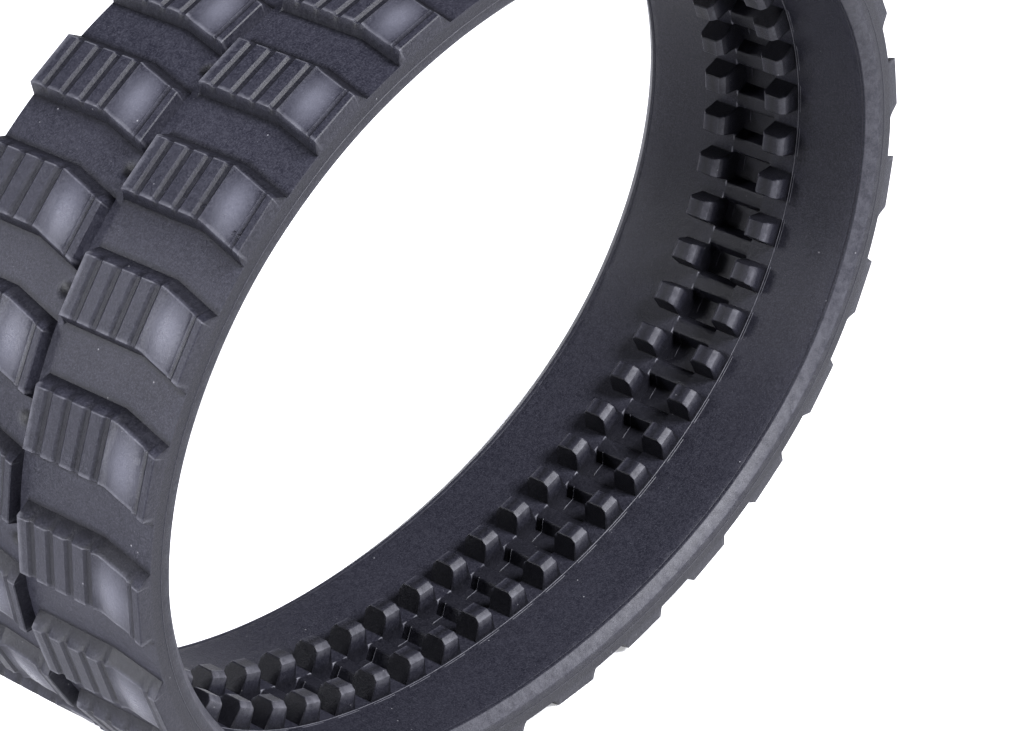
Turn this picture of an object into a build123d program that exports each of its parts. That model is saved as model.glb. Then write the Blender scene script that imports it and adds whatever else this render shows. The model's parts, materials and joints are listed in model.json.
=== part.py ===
from build123d import *
import os
from math import cos, radians, sin, tan

os.makedirs("parts", exist_ok=True)

# An endless rubber track for a scale-model excavator, standing on its tread as a sagging oval.
# X runs along the longer diameter, Y across the belt and Z up; the track stands on Z = 0.
# The belt bends between its steel core bars. The model bends at 18 lines, each halfway between
# two core bars, so the belt is 18 equal sections with a thin V-shaped gap at each line.

# ---------------------------------------------------------------- driving dimensions, mm and degrees
SECTIONS = 18             # lengths of belt between two bending lines
LUGS = 3                  # lug pairs, core bars and tread blocks in one section
PITCH = 7.25              # lug pair to lug pair, along the tension cords
OVAL = 0.47               # how far the bending of the sides exceeds the mean; top and bottom fall short by it

BELT_WIDTH = 38.5
BELT_THICKNESS = 4.2      # without lugs and tread blocks
EDGE_BEVEL = 1.3          # 45 degree bevel on both inner edges
CORD_DEPTH = 3.0          # inner surface to the centre of the tension cords

LUG_INNER = 3.2           # middle of the belt to the near end of a lug
LUG_WIDTH = 3.6
LUG_HEIGHT = 3.4
LUG_FOOT = 4.0            # length along the belt at the foot
LUG_TOP = 2.5             # and at the top
LUG_CHAMFER = 0.6

POCKET_WIDTH = 6.1        # the sprocket's teeth drop into the pockets
POCKET_MOUTH = 4.75
POCKET_FLOOR = 3.3
POCKET_DEPTH = 1.85

BLOCK_HEIGHT = 1.7
BLOCK_TOP = 7.1           # length of a tread block's top along the belt
BLOCK_STEEP = 0.6         # how far its steep flank spreads
BLOCK_SLOPED = 1.35       # how far its sloped flank spreads
BLOCK_BEND = 7.0          # width of the end that bends forward
BLOCK_SHIFT = 1.9         # how far that end moves forward
BLOCK_PHASE = 0.335       # lug pair to the middle of its tread block, in pitches
CENTRE_GROOVE = 1.2       # between the two rows of tread blocks
FLATTENED = 0.3           # how much of the tread is pressed flat where the track stands

BAR_WIDTH = 30.0          # steel core bar
BAR_LENGTH = 3.0
BAR_THICKNESS = 0.6
BAR_DEPTH = 2.05          # inner surface to the top of the bar
HORN_LENGTH = 1.8
HORN_WIDTH = 2.0
HORN_COVER = 1.2          # rubber over the top of a horn

CORDS_PER_SIDE = 3
CORD_DIAMETER = 0.5
CORD_SPACING = 2.5
FIRST_CORD = 8.75         # middle of the belt to the first cord

GAP = 0.1                 # half the gap between two sections, at the cords
GAP_SPARE = 0.6           # spare half angle of the gap
FLEX = 12.0               # largest turn of the bending line next to the bottom section
LOBE = 0.1848             # share of the four-lobed part in how the bending lines turn together

# ---------------------------------------------------------------- worked out from them
SECTION_LENGTH = LUGS * PITCH
INNER = CORD_DEPTH                         # heights above the cords, towards the inside of the loop
OUTER = CORD_DEPTH - BELT_THICKNESS
TREAD = OUTER - BLOCK_HEIGHT
LUG_CROWN = INNER + LUG_HEIGHT
EMBED = 0.5                                # lugs and blocks start this far inside the belt
BLOCK_WIDTH = (BELT_WIDTH - CENTRE_GROOVE) / 2
REACH = 12.0                               # larger than the belt is thick
UP = Vector(0, 0, 1)


def turn(k):
    """Degrees that the belt turns along section k, counted from the bottom section."""
    return 360 / SECTIONS * (1 - OVAL * cos(radians(2 * k * 360 / SECTIONS)))


def bend_radius(k):
    return SECTION_LENGTH / radians(turn(k))


def lobes(i):
    """How much bending line i turns as the loop is squashed: two lobes, and a share of four."""
    angle = radians((i + 0.5) * 360 / SECTIONS)
    return cos(2 * angle) - LOBE * cos(4 * angle)


def gap_angle(i):
    """Half angle of the V-shaped gap at bending line i."""
    return abs(lobes(i) / lobes(0)) * FLEX / 2 + GAP_SPARE


def along(heading):
    return Vector(cos(radians(heading)), 0, sin(radians(heading)))


def inward(heading):
    return Vector(-sin(radians(heading)), 0, cos(radians(heading)))


# One walk round the loop gives each section's first heading and its centre of curvature.
headings = []
centres = []
heading = -turn(0) / 2
centre = (bend_radius(0) - TREAD - FLATTENED) * UP
for k in range(SECTIONS):
    headings.append(heading)
    centres.append(centre)
    heading += turn(k)
    centre += (bend_radius((k + 1) % SECTIONS) - bend_radius(k)) * inward(heading)


def belt_plane(k, distance):
    """Plane on the cords, X along the belt and Z inward, at a distance along section k."""
    heading = headings[k] + turn(k) * distance / SECTION_LENGTH
    origin = centres[k] - bend_radius(k) * inward(heading)
    return Plane(origin=origin, x_dir=along(heading), z_dir=inward(heading))


def across_plane(k):
    """Plane across the belt at the start of section k: X across, Y inward."""
    start = belt_plane(k, 0)
    return Plane(origin=start.origin, x_dir=(0, 1, 0), z_dir=start.x_dir)


def side_plane(plane):
    """The same place seen from the side: X along the belt, Y inward."""
    return Plane(origin=plane.origin, x_dir=plane.x_dir, z_dir=(0, -1, 0))


def bend_axis(k):
    return Axis(centres[k], (0, -1, 0))


def lug_planes(k):
    return [belt_plane(k, (j + 0.5) * PITCH) for j in range(LUGS)]


# ---------------------------------------------------------------- pieces that repeat at every pitch
def make_lug_pair():
    """Two drafted lugs with bevelled ends, one on each side of the sprocket's path."""
    with BuildPart() as lugs:
        with BuildSketch(Plane.XZ.offset(-LUG_INNER)):
            with BuildLine():
                Polyline(
                    (-LUG_FOOT / 2, INNER - EMBED),
                    (-LUG_FOOT / 2, INNER),
                    (-LUG_TOP / 2, LUG_CROWN),
                    (LUG_TOP / 2, LUG_CROWN),
                    (LUG_FOOT / 2, INNER),
                    (LUG_FOOT / 2, INNER - EMBED),
                    close=True,
                )
            make_face()
        extrude(amount=-LUG_WIDTH)
        crown = lugs.faces().sort_by(Axis.Z)[-1]
        chamfer(crown.edges().filter_by(Axis.X), length=LUG_CHAMFER)
        mirror(about=Plane.XZ)
    return lugs.part


def make_pocket():
    """The hollow that a sprocket tooth drops into, between the two lugs of a pair."""
    with BuildPart() as pocket:
        with BuildSketch(Plane.XZ):
            with BuildLine():
                Polyline(
                    (-POCKET_FLOOR / 2, INNER - POCKET_DEPTH),
                    (-POCKET_MOUTH / 2, INNER),
                    (-POCKET_MOUTH / 2, INNER + EMBED),
                    (POCKET_MOUTH / 2, INNER + EMBED),
                    (POCKET_MOUTH / 2, INNER),
                    (POCKET_FLOOR / 2, INNER - POCKET_DEPTH),
                    close=True,
                )
            make_face()
        extrude(amount=POCKET_WIDTH / 2, both=True)
    return pocket.part


def make_tread_block():
    """One tread block, from its bent end at Y = 0 to its straight end at Y = BLOCK_WIDTH."""
    foot = BLOCK_SLOPED + BLOCK_TOP + BLOCK_STEEP
    back = -(foot + BLOCK_SHIFT) / 2
    root = OUTER + EMBED
    with BuildPart() as block:
        with BuildSketch(Plane.XZ.offset(-BLOCK_BEND)) as outline:
            with BuildLine():
                Polyline(
                    (back, root),
                    (back, OUTER),
                    (back + BLOCK_SLOPED, TREAD),
                    (back + BLOCK_SLOPED + BLOCK_TOP, TREAD),
                    (back + foot, OUTER),
                    (back + foot, root),
                    close=True,
                )
            make_face()
        extrude(amount=BLOCK_BEND - BLOCK_WIDTH)
        bent_way = Vector(BLOCK_SHIFT, -BLOCK_BEND, 0)
        extrude(outline.sketch, amount=bent_way.length, dir=bent_way)
    return block.part


def make_core_bar():
    """Steel core bar with two horns that stand up inside the lugs."""
    top = INNER - BAR_DEPTH
    horn_height = LUG_CROWN - HORN_COVER - top
    with BuildPart() as bar:
        with Locations((0, 0, top)):
            Box(BAR_LENGTH, BAR_WIDTH, BAR_THICKNESS, align=(Align.CENTER, Align.CENTER, Align.MAX))
        with Locations((0, LUG_INNER + LUG_WIDTH / 2, top), (0, -LUG_INNER - LUG_WIDTH / 2, top)):
            Box(HORN_LENGTH, HORN_WIDTH, horn_height, align=(Align.CENTER, Align.CENTER, Align.MIN))
    return bar.part


lug_pair = make_lug_pair()
pocket = make_pocket()
tread_block = make_tread_block()
core_bar = make_core_bar()


# ---------------------------------------------------------------- one section of the belt
def cut_gaps(k):
    """Trim whatever is being built to section k, with half of a V-shaped gap at each end."""
    for plane, way, line in ((belt_plane(k, 0), -1, k - 1), (belt_plane(k, SECTION_LENGTH), 1, k)):
        spread = GAP + REACH * tan(radians(gap_angle(line)))
        with BuildSketch(side_plane(plane)) as beyond:
            with BuildLine():
                Polyline(
                    (-way * GAP, 0),
                    (-way * spread, REACH),
                    (way * REACH, REACH),
                    (way * REACH, -REACH),
                    (-way * spread, -REACH),
                    close=True,
                )
            make_face()
        extrude(beyond.sketch, amount=BELT_WIDTH, both=True, mode=Mode.SUBTRACT)


def sweep_cords(k, mode):
    """The tension cords of section k, side by side in a band under each shoulder."""
    offsets = [FIRST_CORD + n * CORD_SPACING for n in range(CORDS_PER_SIDE)]
    with BuildSketch(across_plane(k)) as ends:
        with Locations(*[(side * offset, 0) for side in (-1, 1) for offset in offsets]):
            Circle(CORD_DIAMETER / 2)
    revolve(ends.sketch, axis=bend_axis(k), revolution_arc=turn(k), mode=mode)


def make_rubber_section(k):
    """The rubber of section k: belt, lugs, pockets and tread, hollow where the steel lies."""
    with BuildPart() as rubber:
        with BuildSketch(across_plane(k)):
            with BuildLine():
                Polyline(
                    (-BELT_WIDTH / 2, OUTER),
                    (-BELT_WIDTH / 2, INNER - EDGE_BEVEL),
                    (-BELT_WIDTH / 2 + EDGE_BEVEL, INNER),
                    (BELT_WIDTH / 2 - EDGE_BEVEL, INNER),
                    (BELT_WIDTH / 2, INNER - EDGE_BEVEL),
                    (BELT_WIDTH / 2, OUTER),
                    close=True,
                )
            make_face()
        revolve(axis=bend_axis(k), revolution_arc=turn(k))

        # The last block of the section before reaches over the bending line into this one.
        for pitch in range(LUGS * k - 1, LUGS * (k + 1)):
            place = belt_plane(pitch // LUGS % SECTIONS, (pitch % LUGS + 0.5 + BLOCK_PHASE) * PITCH)
            row_start = -BELT_WIDTH / 2 if pitch % 2 else CENTRE_GROOVE / 2
            with Locations(place):
                with Locations((0, row_start, 0)):
                    add(tread_block)

        with Locations(*lug_planes(k)):
            add(lug_pair)
            add(pocket, mode=Mode.SUBTRACT)
            add(core_bar, mode=Mode.SUBTRACT)
        sweep_cords(k, Mode.SUBTRACT)
        cut_gaps(k)
        if k == 0:
            with Locations((0, 0, 0)):
                Box(
                    2 * SECTION_LENGTH,
                    2 * BELT_WIDTH,
                    REACH,
                    align=(Align.CENTER, Align.CENTER, Align.MAX),
                    mode=Mode.SUBTRACT,
                )
    return rubber.part


def make_core_bars(k):
    with BuildPart() as bars:
        with Locations(*lug_planes(k)):
            add(core_bar)
    return bars.part


def make_tension_cords(k):
    with BuildPart() as cords:
        sweep_cords(k, Mode.ADD)
        cut_gaps(k)
    return cords.part


for k in range(SECTIONS):
    for kind, make in (
        ("rubber_section", make_rubber_section),
        ("core_bars", make_core_bars),
        ("tension_cords", make_tension_cords),
    ):
        piece = make(k)
        piece.label = f"{kind}_{k + 1:02d}"
        export_step(piece, f"parts/{piece.label}.step")
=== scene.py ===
"""A model-scale rubber track, drawn around its CAD frame: one moulded belt in 18 pieces."""
import json
import math

import bmesh
import bpy
import numpy as np
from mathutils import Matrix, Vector

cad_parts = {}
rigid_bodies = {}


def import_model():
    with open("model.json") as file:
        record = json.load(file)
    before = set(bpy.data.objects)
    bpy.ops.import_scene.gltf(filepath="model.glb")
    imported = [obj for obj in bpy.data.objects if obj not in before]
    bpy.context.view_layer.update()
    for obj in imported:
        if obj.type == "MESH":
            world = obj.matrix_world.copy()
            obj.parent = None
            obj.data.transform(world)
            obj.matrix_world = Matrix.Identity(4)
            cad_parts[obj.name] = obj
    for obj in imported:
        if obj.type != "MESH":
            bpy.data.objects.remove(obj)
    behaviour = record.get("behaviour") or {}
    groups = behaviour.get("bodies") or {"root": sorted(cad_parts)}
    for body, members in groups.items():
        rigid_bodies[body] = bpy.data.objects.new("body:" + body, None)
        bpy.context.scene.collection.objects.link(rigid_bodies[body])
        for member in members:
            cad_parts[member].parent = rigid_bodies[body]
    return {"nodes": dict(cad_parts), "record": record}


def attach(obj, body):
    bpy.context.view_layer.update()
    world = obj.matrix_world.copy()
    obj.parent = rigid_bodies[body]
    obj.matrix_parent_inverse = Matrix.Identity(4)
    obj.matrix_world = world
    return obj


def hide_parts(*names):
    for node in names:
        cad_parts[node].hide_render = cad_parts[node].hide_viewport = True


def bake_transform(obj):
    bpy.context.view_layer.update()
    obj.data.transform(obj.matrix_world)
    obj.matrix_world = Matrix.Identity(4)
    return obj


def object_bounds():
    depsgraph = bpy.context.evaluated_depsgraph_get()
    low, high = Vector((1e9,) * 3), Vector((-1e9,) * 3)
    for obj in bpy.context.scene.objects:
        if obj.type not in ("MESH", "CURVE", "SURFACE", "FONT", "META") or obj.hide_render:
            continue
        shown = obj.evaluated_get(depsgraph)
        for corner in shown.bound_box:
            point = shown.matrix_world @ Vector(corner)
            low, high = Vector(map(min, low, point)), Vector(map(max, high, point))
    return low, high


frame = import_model()
cad_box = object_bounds()

# ---------------------------------------------------------------- the loop, in millimetres
# The belt is described by the distance S along its tension cords, counted from the start of the
# bottom section, by Y across it and by the height Z above the cords, towards the inside.
SECTIONS = 18
LUGS = 3
PITCH = 7.25
OVAL = 0.47
HALF_WIDTH = 19.25
INNER = 3.0               # the inner surface, above the cords
OUTER = -1.2              # the surface between the tread blocks
SECTION_LENGTH = LUGS * PITCH
BEHAVIOUR = frame["record"]["behaviour"]
JOINTS = {joint["name"]: joint for joint in BEHAVIOUR["joints"]}
LINKED = {frozenset((joint["parent"], joint["child"])) for joint in BEHAVIOUR["joints"]}
BODY_OF = {member: name for name, members in BEHAVIOUR["bodies"].items() for member in members}


def turn(k):
    return 2 * math.pi / SECTIONS * (1 - OVAL * math.cos(4 * math.pi * k / SECTIONS))


def inward(heading):
    return np.stack([-np.sin(heading), np.cos(heading)], -1)


TURNS = np.array([turn(k) for k in range(SECTIONS)])
RADII = SECTION_LENGTH / TURNS
HEADINGS = np.concatenate([[0.0], np.cumsum(TURNS)[:-1]]) - TURNS[0] / 2
first_pivot = [1000 * v for v in JOINTS["bend_01_02"]["pos_m"]]
CENTRES = [np.array([0.0, first_pivot[2] + RADII[0] * math.cos(TURNS[0] / 2)])]
for k in range(SECTIONS - 1):
    CENTRES.append(CENTRES[k] + (RADII[k + 1] - RADII[k]) * inward(HEADINGS[k + 1]))
CENTRES = np.array(CENTRES)       # of each section's arc, in the XZ plane


def place(section, heading, y, z):
    """Points of the belt, from its section, the belt's heading there, Y and the height Z."""
    flat = CENTRES[section] - (RADII[section] - z)[..., None] * inward(heading)
    return np.stack([flat[..., 0], y + 0 * z, flat[..., 1]], -1)


def belt_point(s, y, z):
    s, y, z = np.broadcast_arrays(s, y, z)
    section = np.floor(s / SECTION_LENGTH).astype(int)
    heading = HEADINGS[section % SECTIONS] + TURNS[section % SECTIONS] * (s / SECTION_LENGTH - section)
    return place(section % SECTIONS, heading, y, z)


# ---------------------------------------------------------------- the moulding's inner side
EDGE = (17.25, 17.38, 17.5, 17.85, 17.98, 19.2, HALF_WIDTH)
EDGE_DROP = (0.0, 0.07, 0.0, 0.0, 0.08, 1.24, 1.34)
LUG_ALONG = ((1.13, 1.28, 2.0), (3.4, 3.27, 0.0))
LUG_ACROSS = ((3.2, 3.27, 3.4, 3.87, 6.13, 6.6, 6.73, 6.8), (0.0, 2.72, 2.86, 3.4, 3.4, 2.86, 2.72, 0.0))
POCKET_ALONG = ((1.65, 2.33, 2.47), (1.85, 0.1, 0.0))
POCKET_ACROSS = ((3.05, 3.2), (1.85, 0.0))
PARTING_LINE = -7.05      # a thin raised line beside the lugs' feet
FLASH_LINE = 2.0          # and a shorter one on the floor of each pocket
FOOT_LINE = -7.38         # a second line beside each lug
LINE_HALF = 0.07          # half a line's width, and how high the parting line stands
SHOULDER = 2.1            # half a lug's foot along the belt, as far as its second line reaches
HALF_ROWS = (0.6, 1.13, 1.28, 1.46, 1.65, 1.83, 2.0, 2.2, 2.33, 2.47, 3.0)
HALF_COLUMNS = (
    (0.9, FLASH_LINE - LINE_HALF, FLASH_LINE, FLASH_LINE + LINE_HALF, 2.6)
    + POCKET_ACROSS[0]
    + LUG_ACROSS[0][1:]
    + (5.0, -PARTING_LINE - LINE_HALF, -PARTING_LINE, -PARTING_LINE + LINE_HALF)
    + (-FOOT_LINE - LINE_HALF, -FOOT_LINE, -FOOT_LINE + LINE_HALF)
    + (7.8, 8.8, 10.4, 12.4, 14.6, 16.4, 18.6)
    + EDGE
)
ROWS = np.array([-x for x in reversed(HALF_ROWS)] + [0.0] + list(HALF_ROWS))
COLUMNS = np.array([-y for y in sorted(HALF_COLUMNS, reverse=True)] + [0.0] + sorted(HALF_COLUMNS))


def inner_height(x, y):
    """Height over the inner surface, at x millimetres from a lug pair along the belt and y across it."""
    lug = np.minimum(
        np.interp(abs(x), *LUG_ALONG, left=LUG_ALONG[1][0]),
        np.interp(abs(y), *LUG_ACROSS, left=0, right=0),
    )
    pocket = np.minimum(np.interp(abs(x), *POCKET_ALONG), np.interp(abs(y), *POCKET_ACROSS))
    line = LINE_HALF * np.clip(1 - abs(y - PARTING_LINE) / LINE_HALF, 0, 1)
    line = line + 0.06 * np.clip(1 - abs(y - FOOT_LINE) / LINE_HALF, 0, 1) * (abs(x) < SHOULDER)
    flash = 0.13 * np.clip(1 - abs(y - FLASH_LINE) / LINE_HALF, 0, 1) * (x > -0.1) * (abs(x) < 2.4)
    return lug - pocket + line + flash - np.interp(abs(y), EDGE, EDGE_DROP)


def inner_painted_light_and_paler_edges(x, y):
    """How much paler the rubber is painted, as painted highlights on lines, lug corners, facets and the bevel and as
    paler cross bar ends, and below nought how much painted shade darkens it.
    """
    # Painted highlights: the parting, foot and flash lines are painted paler.
    line = (abs(y - PARTING_LINE) < 0.01) * 0.7 + (abs(y - FOOT_LINE) < 0.01) * (abs(x) < SHOULDER) * 0.5
    flash = (abs(y - FLASH_LINE) < 0.01) * (x > -0.1) * (abs(x) < 2.4) * 0.8
    # Painted highlight along the lugs' chamfer corners.
    corner = ((abs(y) > 6.59) & (abs(y) < 6.74) | (abs(y) > 3.26) & (abs(y) < 3.41)) * (abs(x) < 1.3) * 0.35
    bar_end = (y > 3.19) * (y < 3.3) * (abs(x) > SHOULDER) * (abs(x) < 2.5) * 1.0
    # Painted highlight on the bevel band, smaller at the top of the side face.
    edge = (abs(y) > 17.9) * 0.2 - (abs(y) > 19.22) * 0.15
    # Painted highlight along the edges of the lug crowns.
    painted_facet_highlight = np.isin(abs(y), LUG_ACROSS[0][3:5]) * (abs(x) < 1.2) * 0.15
    # Painted shade on the lugs and on the strip between the lug rows.
    painted_shade = (abs(y) < 3.19) * 0.32 + (abs(y) > 3.19) * (abs(y) < 6.9) * (abs(x) < 2.01) * 0.45
    bright = np.maximum.reduce([line, flash, corner, painted_facet_highlight, bar_end, edge])
    return np.where(bright > 0, bright, edge - painted_shade)


def inner_rows(pitch, first):
    """Rows of points over one pitch of the inner side, from cross bar to cross bar."""
    section = pitch // LUGS % SECTIONS
    radius = RADII[section]
    middle = HEADINGS[section] + (pitch % LUGS + 0.5) * PITCH / radius
    x, y = np.meshgrid(ROWS, COLUMNS, indexing="ij")
    z = INNER + inner_height(x, y)
    heading = middle + x / (radius - z)
    painted_light_and_paler_edges = inner_painted_light_and_paler_edges(x, y)
    between = np.full(len(COLUMNS), PITCH / 2)
    level = INNER + inner_height(between, COLUMNS)
    end_painted_light_and_paler_edges = inner_painted_light_and_paler_edges(between, COLUMNS)[None]

    def end_row(way):
        end_heading = middle + way * PITCH / 2 / radius + 0 * level
        return place(np.full(level.shape, section), end_heading, COLUMNS, level)[None]

    rows = [place(np.full(z.shape, section), heading, y, z), end_row(1)]
    painted_lights_and_paler_edges = [painted_light_and_paler_edges, end_painted_light_and_paler_edges]
    if first:
        rows.insert(0, end_row(-1))
        painted_lights_and_paler_edges.insert(0, end_painted_light_and_paler_edges)
    return np.concatenate(rows), np.concatenate(painted_lights_and_paler_edges)


# ---------------------------------------------------------------- the moulding's tread
BLOCK_HEIGHT = 1.7
BLOCK_WIDTH = 18.65
BLOCK_START, BLOCK_END = -2.885, 5.9      # its feet, along the belt from its lug pair
BLOCK_MIDDLE = 1.875
BLOCK_ALONG = ((BLOCK_START, -1.62, -1.5, 5.25, 5.36, BLOCK_END), (0.0, 1.6, 1.7, 1.7, 1.6, 0.0))
BLOCK_ACROSS = ((0.0, 0.12, 18.4, 18.52, 18.65), (1.6, 1.7, 1.7, 1.58, 0.0))
BEND_START = 11.65        # from a block's straight end to where it bends forward
BEND_SHIFT = 1.845
RIB_GROOVES = ((1.5, 2.8), (4.4, 5.7), (7.3, 8.6), (10.2, 11.5), (16.8, 17.6))
GROOVE_DEPTH = 0.3
GROOVE_FLANK = 0.38
PILLOW = (14.3, 1.9, 2.5, 3.6, 0.34)   # middle across and along, half sizes and sink of the smooth pillow
DIMPLE = (2.7, 1.25, 1.15, 0.42)       # along, across, radius and depth
TREAD_ROWS = np.array(
    [BLOCK_START, -2.4, -2.0, -1.89, -1.62, -1.5, -1.35, -0.7, -0.1, 0.25, 0.6, 0.9, 1.2, 1.5, 1.85, 2.2, 2.8, 3.625]
)
GROOVE_COLUMNS = [
    at
    for low, high in RIB_GROOVES
    for at in (low, low + GROOVE_FLANK, high - GROOVE_FLANK, high)
]
BLOCK_COLUMNS = sorted(
    [0.0, 0.12, 0.8, 3.6, 6.5, 9.4, BEND_START, 12.2, 12.8, 13.4, 14.0, 14.6, 15.2, 15.8, 16.4]
    + GROOVE_COLUMNS
    + [17.85, 18.1, 18.4, 18.52, BLOCK_WIDTH]
)


def tread_columns():
    """Y, the row of blocks (+1 far, -1 near) and the distance from the blocks' straight end."""
    far = [(HALF_WIDTH - d, 1, d) for d in BLOCK_COLUMNS]
    near = [(BLOCK_WIDTH - HALF_WIDTH - d, -1, d) for d in BLOCK_COLUMNS]
    columns = far + [(0.3, 0, BLOCK_WIDTH), (0.0, 0, BLOCK_WIDTH), (-0.3, 0, 0.0)] + near
    return [np.array(part) for part in zip(*reversed(columns))]


TREAD_Y, TREAD_SIDE, TREAD_D = tread_columns()


def rib_groove(d):
    """One on the floor of the grooves between a block's ribs, and nought on the ribs."""
    groove = 0 * d
    for low, high in RIB_GROOVES:
        points = (low, low + GROOVE_FLANK, high - GROOVE_FLANK, high)
        groove = np.maximum(groove, np.interp(d, points, (0, 1, 1, 0), left=0, right=0))
    return groove


def block_height(x, d):
    """Height of a tread block at x along the belt from its lug pair and d from its straight end."""
    height = np.minimum(np.interp(x, *BLOCK_ALONG, left=0, right=0), np.interp(d, *BLOCK_ACROSS, right=0))
    groove = GROOVE_DEPTH * rib_groove(d)
    across, along, half_across, half_along, sink = PILLOW
    reach = ((d - across) / half_across) ** 2 + ((x - along) / half_along) ** 2
    pillow = sink * np.clip(reach, 0, 1) * np.interp(d, (11.5, 12.2, 16.4, 17.0), (0, 1, 1, 0))
    return height - np.where(height > 0, np.minimum((groove + pillow) * height / BLOCK_HEIGHT, height), 0)


def tread_rows(pitch):
    """Rows of points over one pitch of the tread, from just after one cross bar's middle to the next."""
    x, y = np.meshgrid(TREAD_ROWS, TREAD_Y, indexing="ij")
    side = np.broadcast_to(TREAD_SIDE, x.shape)
    d = np.broadcast_to(TREAD_D, x.shape)
    own = -1 if pitch % 2 else 1
    height = np.where(side == own, block_height(x, d), 0)
    height = np.where(side == -own, np.maximum(block_height(x + PITCH, d), block_height(x - PITCH, d)), height)
    section = pitch // LUGS % SECTIONS
    block_x = np.where(side == own, x, x + PITCH)
    flatten = (block_x - BLOCK_MIDDLE) ** 2 / 2 / (RADII[section] - OUTER)    # tops are flat on the round belt
    height = height + height / BLOCK_HEIGHT * flatten * (height > 0.2)
    in_block = np.clip((TREAD_D - BEND_START) / (BLOCK_WIDTH - BEND_START), 0, 1)
    along = x + BEND_SHIFT * np.where(TREAD_SIDE == 0, np.interp(TREAD_Y, (-0.6, 0.6), (0, 1)), in_block)
    hollow = 0 * height
    if own == -1:
        middle_s, middle_y, radius, depth = DIMPLE
        reach = np.hypot(along - middle_s, y - middle_y) / radius
        hollow = np.clip(1 - reach**2, 0, 1) ** 1.5 * (height < 0.05)
        height = height - depth * hollow
    points = belt_point((pitch + 0.5) * PITCH + along, y, OUTER - height)
    points[..., 2] = np.maximum(points[..., 2], 0)
    edge = ((abs(x + 1.5) < 0.01) | (abs(x - 5.25) < 0.01) | (abs(x + PITCH - 5.25) < 0.01)) * 0.3
    # Paler along the blocks' top edges; painted shade in the grooves between ribs and in the dimple's hollow.
    painted_light_and_paler_edges = np.where(height > 1.2, np.maximum(edge, (d < 0.13) * 0.3) - 0.4 * rib_groove(d), 0) - hollow
    # Painted shade at the blocks' feet and on their walls.
    painted_foot_shade = np.where(side == own, abs(x - BLOCK_START) < 0.01, abs(x - BLOCK_END + PITCH) < 0.01) & (side != 0)
    painted_light_and_paler_edges = painted_light_and_paler_edges - 0.5 * (painted_foot_shade & (height < 0.05) & (d < BLOCK_WIDTH)) - 0.35 * ((height > 0.05) & (height < 1.3))
    across, along_block, half_across, half_along, _ = PILLOW
    from_pillow = np.hypot((d - across) / half_across, (block_x - along_block) / half_along)
    # The pillows' gloss, also used as a painted highlight in the colour.
    gloss_and_painted_highlight = (height > 1.2) * np.clip(1.25 - from_pillow, 0, 1)
    return points, painted_light_and_paler_edges, gloss_and_painted_highlight


# ---------------------------------------------------------------- pieces of the rubber skin
SIDE_LEVELS = ((0.62, 0.0), (0.53, 0.0), (0.47, 0.05), (0.41, 0.0), (-0.75, 0.0))     # height and bulge
END_SETBACK, END_SHRINK = 0.4, 0.15       # how far a cut end's face stands back, and how much smaller it is
SHARP_ANGLE = math.radians(36)
MERGE_DISTANCE = 2e-7
BLEND_REACH = 5.75        # how far to each side of a pivot line the points start and end are taken


class Skin:
    """Collects the points and faces of one closed stretch of the belt."""

    def __init__(self):
        self.points = []
        self.painted_light_and_paler_edges = []
        self.gloss_and_painted_highlight = []
        self.faces = []

    def add(self, points, painted_light_and_paler_edges, gloss_and_painted_highlight=0.0):
        start = len(self.points)
        self.points += [tuple(p) for p in points.reshape(-1, 3)]
        self.painted_light_and_paler_edges += list(np.broadcast_to(painted_light_and_paler_edges, points.shape[:-1]).reshape(-1))
        self.gloss_and_painted_highlight += list(np.broadcast_to(gloss_and_painted_highlight, points.shape[:-1]).reshape(-1))
        return start + np.arange(points[..., 0].size).reshape(points.shape[:-1])

    def quads(self, index, flip):
        a, b, c, d = index[:-1, :-1], index[1:, :-1], index[1:, 1:], index[:-1, 1:]
        quads = np.stack([a, d, c, b] if flip else [a, b, c, d], -1).reshape(-1, 4)
        self.faces += quads.tolist()


def rows_along(pitch):
    """Distance along the cords of each inner row of a pitch, and of the cross bar after it."""
    radius = RADII[pitch // LUGS % SECTIONS]
    edge = INNER - EDGE_DROP[-1]
    return np.append((pitch + 0.5) * PITCH + ROWS * radius / (radius - edge), (pitch + 1) * PITCH)


def side_band(skin, upper, lower, pitches, way):
    """One side face: a band with the mould's parting line, then the ends of the tread blocks."""
    along = np.concatenate([[pitches[0] * PITCH]] + [rows_along(pitch) for pitch in pitches])
    columns = [upper]
    for level, bulge in SIDE_LEVELS:
        # The side face is darkened with painted shade, and its bulging parting line is painted paler as a highlight.
        columns.append(skin.add(belt_point(along, way * (HALF_WIDTH + bulge), level), bulge * 10 - 0.2))
    skin.quads(np.stack(columns, -1), flip=way < 0)
    for n in range(len(pitches)):
        top = columns[-1][n * (len(ROWS) + 1) : (n + 1) * (len(ROWS) + 1) + 1]
        bottom = lower[n * len(TREAD_ROWS) : (n + 1) * len(TREAD_ROWS) + 1]
        ring = [int(i) for i in top] + [int(i) for i in bottom[::-1]]
        skin.faces.append(ring if way > 0 else ring[::-1])
    return columns


def end_face(skin, ring, pitch, forward):
    """Closes a cut end with a face that is set back a little, so the two ends never rub through each other."""
    corners = np.array([skin.points[i] for i in ring])
    ends = belt_point(np.array([0, END_SETBACK if forward else -END_SETBACK]) + pitch * PITCH, 0.0, 0.0)
    inset = corners + END_SHRINK * (corners.mean(0) - corners) + ends[1] - ends[0]
    inner = skin.add(inset, 0.0).tolist()
    for n in range(len(ring)):
        skin.faces.append([ring[n - 1], ring[n], inner[n], inner[n - 1]])
    skin.faces.append(inner)


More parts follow.
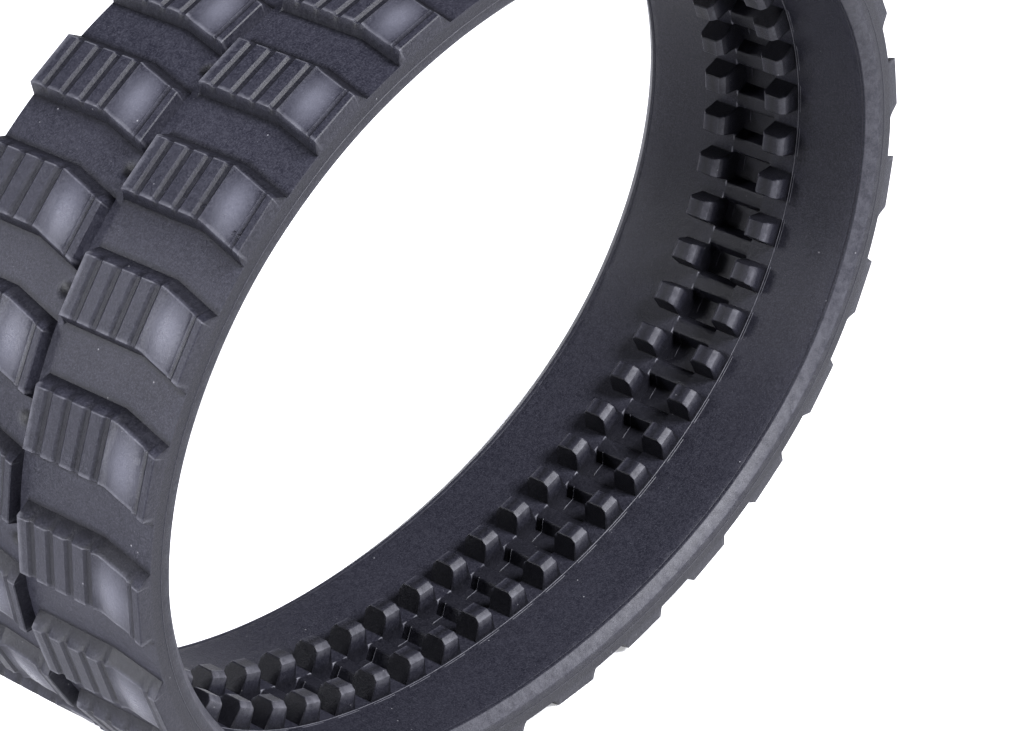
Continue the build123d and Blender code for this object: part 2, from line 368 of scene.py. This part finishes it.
def make_skin(name, pitches, cut=None):
    """The rubber from the cross bar before the first of some pitches to the one after the last."""
    skin = Skin()
    blocks = [inner_rows(pitch, n == 0) for n, pitch in enumerate(pitches)]
    inner_index = skin.add(np.concatenate([b[0] for b in blocks]), np.concatenate([b[1] for b in blocks]))
    skin.quads(inner_index, flip=False)
    treads = [[part[-1:] for part in tread_rows(pitches[0] - 1)]] + [tread_rows(pitch) for pitch in pitches]
    tread_index = skin.add(*(np.concatenate(parts) for parts in zip(*treads)))
    skin.quads(tread_index, flip=True)
    far = side_band(skin, inner_index[:, -1], tread_index[:, -1], pitches, 1)
    near = side_band(skin, inner_index[:, 0], tread_index[:, 0], pitches, -1)
    if cut is not None:
        down = [int(column[cut]) for column in far[1:]]
        up = [int(column[cut]) for column in near[:0:-1]]
        ring = [int(i) for i in inner_index[cut]] + down + [int(i) for i in tread_index[cut, ::-1]] + up
        end_face(skin, ring if cut == 0 else ring[::-1], pitches[0] if cut == 0 else pitches[-1] + 1, cut == 0)
    mesh = bpy.data.meshes.new(name)
    mesh.from_pydata([Vector(p) / 1000 for p in skin.points], [], skin.faces)
    for label, values in (("painted_light_and_paler_edges", skin.painted_light_and_paler_edges), ("gloss_and_painted_highlight", skin.gloss_and_painted_highlight)):
        mesh.attributes.new(label, "FLOAT", "POINT").data.foreach_set("value", np.array(values, np.float32))
    rest = mesh.attributes.new("rest", "FLOAT_VECTOR", "POINT")
    rest.data.foreach_set("vector", np.array(skin.points, np.float32).ravel())
    work = bmesh.new()
    work.from_mesh(mesh)
    bmesh.ops.remove_doubles(work, verts=work.verts, dist=MERGE_DISTANCE)
    bmesh.ops.dissolve_degenerate(work, edges=work.edges, dist=1e-7)
    work.to_mesh(mesh)
    work.free()
    mesh.shade_smooth()
    mesh.set_sharp_from_angle(angle=SHARP_ANGLE)
    piece = bpy.data.objects.new(name, mesh)
    bpy.context.scene.collection.objects.link(piece)
    weigh = piece.modifiers.new("weighted normals", "WEIGHTED_NORMAL")
    weigh.keep_sharp = True
    weigh.weight = 90
    return piece


def hinge_point(hinge, offset):
    """A point on the cords' line, some millimetres along the belt's tangent from a pivot line."""
    heading = HEADINGS[(hinge + 1) % SECTIONS]
    flat = belt_point(np.array((hinge + 1) * SECTION_LENGTH), 0.0, 0.0)
    return (flat + offset * np.array([math.cos(heading), 0, math.sin(heading)])) / 1000


def rubber_node(section):
    return f"rubber_section_{section % SECTIONS + 1:02d}"


def build_belt():
    """Eighteen pieces, each over one pivot line and two lug pairs before it, and cut where the loop is open."""
    pieces = []
    for section in range(SECTIONS):
        name = f"belt_{section + 1:02d}"
        nodes = rubber_node(section), rubber_node(section + 1)
        bodies = BODY_OF[nodes[0]], BODY_OF[nodes[1]]
        first = LUGS * section + 1
        if bodies[0] != bodies[1] and frozenset(bodies) not in LINKED:
            ends = ((name + "_end", (first, first + 1), -1), (name + "_start", (first + 2,), 0))
            for (end, pitches, cut), rider, node_name in zip(ends, bodies, nodes):
                pieces.append(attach(make_skin(end, pitches, cut), rider))
                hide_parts(node_name)
            continue
        piece = make_skin(name, (first, first + 1, first + 2))
        if bodies[0] == bodies[1]:
            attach(piece, bodies[0])
        else:
            start, end = (tuple(hinge_point(section, reach)) for reach in (-BLEND_REACH, BLEND_REACH))
            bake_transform(piece)
        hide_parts(nodes[0])
        pieces.append(piece)
    return pieces


# ---------------------------------------------------------------- materials
def node(tree, kind, inputs=None, **settings):
    """A new node, with settings and inputs, each input a value or another node's output."""
    made = tree.nodes.new(kind)
    for name, value in settings.items():
        setattr(made, name, value)
    for name, value in (inputs or {}).items():
        if isinstance(value, bpy.types.NodeSocket):
            tree.links.new(value, made.inputs[name])
        else:
            made.inputs[name].default_value = value
    return made


def maths(tree, operation, a, b=0.0, clamp=False):
    return node(tree, "ShaderNodeMath", {0: a, 1: b}, operation=operation, use_clamp=clamp).outputs[0]


def ranged(tree, value, low, high, to_low=0.0, to_high=1.0, smooth=False):
    made = node(
        tree,
        "ShaderNodeMapRange",
        {"Value": value, "From Min": low, "From Max": high, "To Min": to_low, "To Max": to_high},
        interpolation_type="SMOOTHSTEP" if smooth else "LINEAR",
    )
    return made.outputs["Result"]


def mixed(tree, factor, a, b):
    made = node(tree, "ShaderNodeMix", data_type="RGBA")
    for socket, value in ((made.inputs[0], factor), (made.inputs[6], a), (made.inputs[7], b)):
        if isinstance(value, bpy.types.NodeSocket):
            tree.links.new(value, socket)
        else:
            socket.default_value = value
    return made.outputs[2]


def noise(tree, vector, scale, detail=4.0, roughness=0.55):
    inputs = {"Vector": vector, "Scale": scale, "Detail": detail, "Roughness": roughness}
    return node(tree, "ShaderNodeTexNoise", inputs).outputs["Fac"]


def attribute(tree, name, output):
    return node(tree, "ShaderNodeAttribute", attribute_name=name).outputs[output]


def new_material(name):
    material = bpy.data.materials.new(name)
    material.use_nodes = True
    return material, material.node_tree, material.node_tree.nodes["Principled BSDF"]


def rubber_material():
    """Near-black moulded rubber: satin, slightly mottled and dusty, paler on block edges and cross bar ends, with
    painted highlights on the parting and flash lines, lug corners and facets, bevels and tread pillows, and painted
    shade on the lugs, side faces, grooves, hollows and block feet.
    """
    material, tree, shader = new_material("belt_rubber")
    rest = attribute(tree, "rest", "Vector")
    painted_light_and_paler_edges = attribute(tree, "painted_light_and_paler_edges", "Fac")
    gloss_and_painted_highlight = attribute(tree, "gloss_and_painted_highlight", "Fac")
    # Painted shade: values below nought darken the colour.
    shade = ranged(tree, painted_light_and_paler_edges, -0.6, 0.0, 0.2, 1.0)
    patches = noise(tree, rest, 0.09, 5.0, 0.6)
    mottle = noise(tree, rest, 1.3, 6.0, 0.7)
    grain = noise(tree, rest, 4.2, 4.0, 0.75)
    colour = mixed(
        tree, ranged(tree, patches, 0.35, 0.65), (0.0042, 0.0043, 0.0074, 1), (0.0068, 0.0068, 0.0105, 1)
    )
    colour = mixed(tree, ranged(tree, mottle, 0.42, 0.72, 0.0, 0.6), colour, (0.015, 0.015, 0.021, 1))
    colour = mixed(tree, ranged(tree, grain, 0.45, 0.70, 0.0, 0.85), colour, (0.023, 0.023, 0.030, 1))
    specks = node(tree, "ShaderNodeTexVoronoi", {"Vector": rest, "Scale": 0.42, "Randomness": 1.0})
    chosen = maths(
        tree, "GREATER_THAN", node(tree, "ShaderNodeSeparateColor", {0: specks.outputs["Color"]}).outputs[0], 0.6
    )
    speck = maths(tree, "MULTIPLY", ranged(tree, specks.outputs["Distance"], 0.055, 0.02), chosen, True)
    fine = node(tree, "ShaderNodeTexVoronoi", {"Vector": rest, "Scale": 1.7, "Randomness": 1.0})
    fine_chosen = maths(
        tree, "GREATER_THAN", node(tree, "ShaderNodeSeparateColor", {0: fine.outputs["Color"]}).outputs[1], 0.7
    )
    fine_speck = maths(tree, "MULTIPLY", ranged(tree, fine.outputs["Distance"], 0.1, 0.04, 0.0, 0.4), fine_chosen)
    dust = maths(tree, "MAXIMUM", speck, fine_speck)
    broken = ranged(tree, noise(tree, rest, 0.8, 4.0, 0.7), 0.35, 0.62, 0.35, 1.0)
    # Values above nought paint the colour paler: painted highlights, and paler block edges and cross bar ends.
    painted_highlights_and_paler_edges = maths(tree, "MULTIPLY", painted_light_and_paler_edges, broken, True)
    colour = mixed(tree, maths(tree, "MULTIPLY", painted_highlights_and_paler_edges, 0.8), colour, (0.17, 0.17, 0.19, 1))
    # Painted highlight on the tread pillows.
    colour = mixed(tree, maths(tree, "MULTIPLY", gloss_and_painted_highlight, 0.5), colour, (0.085, 0.086, 0.105, 1))
    colour = mixed(tree, maths(tree, "MULTIPLY", dust, 0.55), colour, (0.21, 0.21, 0.22, 1))
    shaded = node(tree, "ShaderNodeVectorMath", {0: colour, 1: shade}, operation="MULTIPLY").outputs[0]
    tree.links.new(shaded, shader.inputs["Base Color"])
    gloss = ranged(tree, mottle, 0.3, 0.7, 0.40, 0.52)
    gloss = maths(tree, "ADD", gloss, maths(tree, "MULTIPLY", dust, 0.3), True)
    gloss = maths(tree, "SUBTRACT", gloss, maths(tree, "MULTIPLY", gloss_and_painted_highlight, 0.2), True)
    tree.links.new(gloss, shader.inputs["Roughness"])
    shader.inputs["Specular IOR Level"].default_value = 0.15
    height = maths(tree, "ADD", maths(tree, "MULTIPLY", grain, 0.05), maths(tree, "MULTIPLY", mottle, 0.05))
    height = maths(tree, "ADD", height, maths(tree, "MULTIPLY", dust, 0.02))
    bump = node(tree, "ShaderNodeBump", {"Strength": 0.8, "Distance": 0.001, "Height": height})
    tree.links.new(bump.outputs["Normal"], shader.inputs["Normal"])
    return material


def steel_material(name, base, lighter, roughness, lay):
    """Steel with a drawn grain along one axis and darker specks."""
    material, tree, shader = new_material(name)
    spot = node(tree, "ShaderNodeTexCoord").outputs["Object"]
    stretched = node(tree, "ShaderNodeMapping", {"Vector": spot, "Scale": lay}, vector_type="POINT").outputs[0]
    drawn = noise(tree, stretched, 900.0, 5.0, 0.6)
    stain = noise(tree, spot, 260.0, 4.0, 0.6)
    colour = mixed(tree, ranged(tree, drawn, 0.3, 0.7), base, lighter)
    colour = mixed(tree, ranged(tree, stain, 0.55, 0.75, 0.0, 0.5), colour, (0.16, 0.15, 0.14, 1))
    tree.links.new(colour, shader.inputs["Base Color"])
    shader.inputs["Metallic"].default_value = 1.0
    tree.links.new(ranged(tree, drawn, 0.3, 0.7, roughness, roughness + 0.15), shader.inputs["Roughness"])
    bump = node(tree, "ShaderNodeBump", {"Strength": 0.3, "Distance": 0.0001, "Height": drawn})
    tree.links.new(bump.outputs["Normal"], shader.inputs["Normal"])
    return material


def floor_material():
    material, tree, shader = new_material("pale_floor")
    spot = node(tree, "ShaderNodeTexCoord").outputs["Object"]
    shade = noise(tree, spot, 9.0, 3.0, 0.5)
    tree.links.new(
        mixed(tree, shade, (0.50, 0.50, 0.515, 1), (0.54, 0.54, 0.55, 1)), shader.inputs["Base Color"]
    )
    shader.inputs["Roughness"].default_value = 0.7
    shader.inputs["Emission Color"].default_value = (0.97, 0.97, 1.0, 1)
    shader.inputs["Emission Strength"].default_value = 0.4
    return material


# ---------------------------------------------------------------- the object
RUBBER = rubber_material()
BARS = steel_material("bar_steel", (0.38, 0.38, 0.40, 1), (0.55, 0.55, 0.57, 1), 0.32, (8, 0.6, 8))
CORDS = steel_material("cord_steel", (0.42, 0.41, 0.40, 1), (0.60, 0.58, 0.55, 1), 0.38, (1, 1, 1))
for piece in build_belt():
    piece.data.materials.append(RUBBER)
for name, cad_node in frame["nodes"].items():
    if not name.startswith("rubber"):
        cad_node.data.materials.clear()
        cad_node.data.materials.append(BARS if name.startswith("core") else CORDS)

# ---------------------------------------------------------------- floor, camera and light
low, high = cad_box
middle = (low + high) / 2
size = max(high - low)


def studio_floor():
    work = bmesh.new()
    bmesh.ops.create_grid(work, x_segments=8, y_segments=8, size=size * 30)
    mesh = bpy.data.meshes.new("floor")
    work.to_mesh(mesh)
    work.free()
    floor = bpy.data.objects.new("floor", mesh)
    floor.location = (middle.x, middle.y, low.z - 0.00005)
    bpy.context.scene.collection.objects.link(floor)
    floor.data.materials.append(floor_material())


def studio_camera():
    """Stands above and to the left of the near side, and looks along the belt's right-hand run."""
    yaw, pitch = math.radians(38.77), math.radians(31.12)
    ahead = Vector((math.cos(pitch) * math.cos(yaw), math.cos(pitch) * math.sin(yaw), -math.sin(pitch)))
    camera = bpy.data.cameras.new("camera")
    camera.sensor_width = 36
    camera.lens = 120.25
    camera.clip_start, camera.clip_end = 0.01, 20
    rig = bpy.data.objects.new("camera", camera)
    rig.location = (-0.28335, -0.23882, 0.26812)
    rig.rotation_euler = ahead.to_track_quat("-Z", "Y").to_euler()
    bpy.context.scene.collection.objects.link(rig)
    bpy.context.scene.camera = rig


def studio_light(name, where, width, height, watts, colour):
    light = bpy.data.lights.new(name, "AREA")
    light.shape = "RECTANGLE"
    light.size, light.size_y = width, height
    light.energy = watts
    light.color = colour
    lamp = bpy.data.objects.new(name, light)
    lamp.location = middle + Vector(where)
    lamp.rotation_euler = (-Vector(where)).to_track_quat("-Z", "Y").to_euler()
    bpy.context.scene.collection.objects.link(lamp)


studio_floor()
studio_camera()
studio_light("key", (0.18, -0.62, 0.72), 0.4, 0.4, 40.0, (0.95, 0.955, 1.0))
studio_light("fill", (-0.90, 0.0, 0.34), 0.12, 0.5, 24.0, (0.93, 0.94, 1.0))
studio_light("back", (-0.66, 0.60, 0.46), 0.25, 0.25, 8.0, (0.92, 0.93, 1.0))
world = bpy.data.worlds.new("studio")
world.use_nodes = True
world.node_tree.nodes["Background"].inputs["Color"].default_value = (0.97, 0.97, 1.0, 1)
world.node_tree.nodes["Background"].inputs["Strength"].default_value = 0.1
bpy.context.scene.world = world
bpy.context.scene.view_settings.view_transform = "Standard"

bpy.context.view_layer.update()
